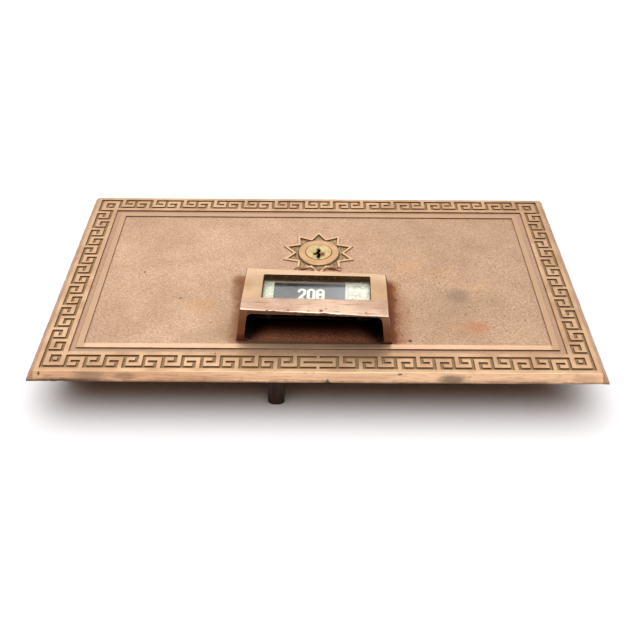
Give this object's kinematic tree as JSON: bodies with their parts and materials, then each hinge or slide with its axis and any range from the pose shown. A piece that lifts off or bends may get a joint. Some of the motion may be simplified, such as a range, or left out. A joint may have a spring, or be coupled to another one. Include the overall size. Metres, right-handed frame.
{
  "type": "post office box door",
  "caption": "Flat cast brass box door with a key-pattern border, a star round its cylinder lock, a pull hood with a number window, rear hinge lugs and a sliding bolt.",
  "frame": {"origin": "under the middle of the door, on the plane through the ends of its rear lugs and guides", "axes": "+X to the door's right as seen from the front, +Y to its top edge, +Z out of its face"},
  "size_m": [0.276, 0.159, 0.0461],
  "materials": {
    "cast_bronze": "cast, worn satin, dark in its recesses",
    "hood_bronze": "cast, brushed and worn",
    "lock_brass": "turned, satin",
    "plug_brass": "turned, worn bright",
    "bolt_brass": "drawn bar, satin",
    "bush_bronze": "turned, oiled",
    "sheet_brass": "rolled sheet",
    "steel": "plain steel, slightly dull",
    "spring_steel": "wire",
    "pane_glass": "clear",
    "card": "matt off-white card",
    "printed_strip": "matt dark print",
    "white_print": "white print"
  },
  "bodies": {
    "door": {"door_plate": "cast_bronze", "pull_hood": "hood_bronze", "hood_screws": "steel", "window_pane": "pane_glass", "number_strip": "printed_strip", "numerals": "white_print", "card_backing": "card", "card_keeper": "sheet_brass", "keeper_screws": "steel", "lock_shell": "lock_brass", "spring_cover": "sheet_brass", "driver_pins": "lock_brass", "pin_springs": "spring_steel", "lock_screws": "steel", "bolt_guide_inner": "cast_bronze", "bolt_guide_outer": "cast_bronze", "guide_screws": "steel", "hinge_bushes": "bush_bronze"},
    "cylinder": {"lock_plug": "plug_brass", "key_pins": "lock_brass", "cam": "steel", "cam_screw": "steel", "crank_pin": "steel"},
    "bolt": {"bolt_bar": "bolt_brass"}
  },
  "joints": [
    {"name": "bolt_slide", "type": "slide", "parent": "door", "child": "bolt", "axis": [-1, 0, 0], "range_m": [0, 0.01414]},
    {"name": "key_turn", "type": "hinge", "parent": "door", "child": "cylinder", "pos_m": [0, 0.0202, 0.0264], "axis": [0, 0, 1], "range_deg": [0, 90]}
  ],
  "couplings": [
    {"joint": "key_turn", "follows": "bolt_slide", "rad_per_m": 111.07}
  ]
}
